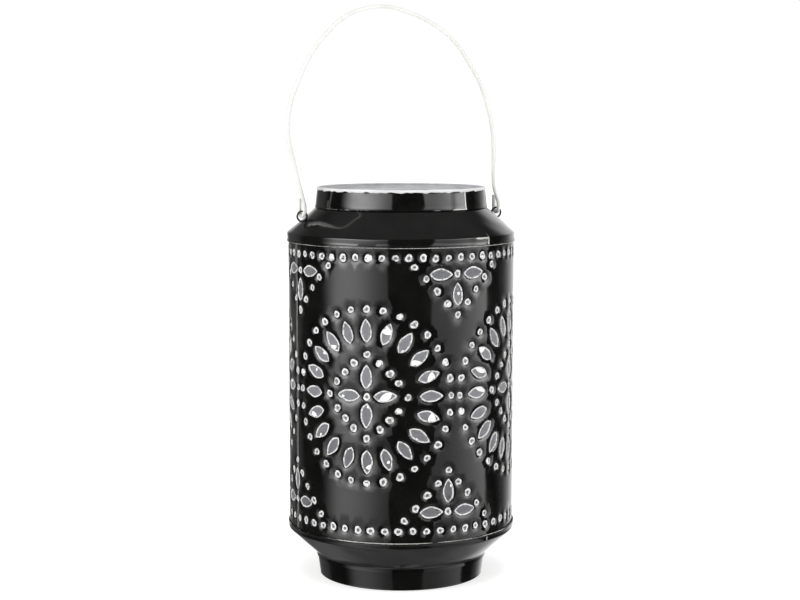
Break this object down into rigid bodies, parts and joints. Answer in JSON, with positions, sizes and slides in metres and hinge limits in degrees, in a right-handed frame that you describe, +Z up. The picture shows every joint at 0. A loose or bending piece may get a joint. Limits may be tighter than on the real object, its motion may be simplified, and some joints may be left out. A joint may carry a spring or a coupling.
{
  "type": "solar lantern",
  "caption": "Cylindrical lantern of punched sheet metal with a wire bail, a narrower foot and neck, and a drop-in round solar lamp module in the neck.",
  "frame": {"origin": "centre of the foot, on the ground plane", "axes": "+Z up along the body's axis, X along the bail's hinge line, -Y the front"},
  "size_m": [0.1579, 0.1538, 0.3837],
  "materials": {
    "black_enamel": "high-gloss black enamel on sheet steel",
    "white_enamel": "satin white enamel, the inside coat",
    "black_wire": "gloss black wire",
    "cream_paint": "satin off-white paint on steel wire",
    "cap_plastic": "satin light grey plastic",
    "cup_plastic": "matte light grey plastic",
    "seal_rubber": "matte black rubber",
    "cell_silicon": "dark blue solar cell",
    "clear_cover": "clear, polished",
    "screw_steel": "zinc-plated",
    "battery_wrap": "plain green wrap",
    "nickel": "nickel plate",
    "board_laminate": "green solder mask",
    "chip_black": "black moulding",
    "copper_winding": "enamelled copper wire",
    "lamp_lens": "warm clear epoxy",
    "knob_black": "matte black plastic",
    "lead_red": "red insulation",
    "lead_black": "black insulation"
  },
  "bodies": {
    "lantern": {"neck_collar": "black_enamel", "shoulder_cone": "black_enamel", "punched_sleeve": "black_enamel", "base_cone": "black_enamel", "foot_ring": "black_enamel", "floor_plate": "white_enamel", "bail_eye_left": "black_wire", "bail_eye_right": "black_wire"},
    "bail": {"bail_handle": "cream_paint"},
    "solar_module": {"module_top": "cap_plastic", "module_bottom": "cup_plastic", "seal_ring": "seal_rubber", "solar_cell": "cell_silicon", "cell_cover": "clear_cover", "housing_screws": "screw_steel", "battery": "battery_wrap", "contact_plus": "nickel", "contact_minus": "nickel", "contact_spring": "nickel", "driver_board": "board_laminate", "driver_chip": "chip_black", "inductor": "copper_winding", "board_screws": "screw_steel", "led_lamp": "lamp_lens", "switch_case": "nickel", "panel_lead_red": "lead_red", "panel_lead_black": "lead_black", "battery_lead_red": "lead_red", "battery_lead_black": "lead_black"},
    "battery_door": {"battery_door": "cup_plastic", "door_screws": "screw_steel"},
    "switch_slider": {"switch_slider": "knob_black"}
  },
  "joints": [
    {"name": "bail_swing", "type": "hinge", "parent": "lantern", "child": "bail", "pos_m": [0, 0, 0.24775], "axis": [1, 0, 0], "range_deg": [-108, 98]},
    {"name": "module_lift", "type": "slide", "parent": "lantern", "child": "solar_module", "axis": [0, 0, 1], "range_m": [0, 0.045]},
    {"name": "door_off", "type": "slide", "parent": "solar_module", "child": "battery_door", "axis": [0, 0, -1], "range_m": [0, 0.012]},
    {"name": "switch_slide", "type": "slide", "parent": "solar_module", "child": "switch_slider", "axis": [1, 0, 0], "range_m": [0, 0.0025]}
  ]
}
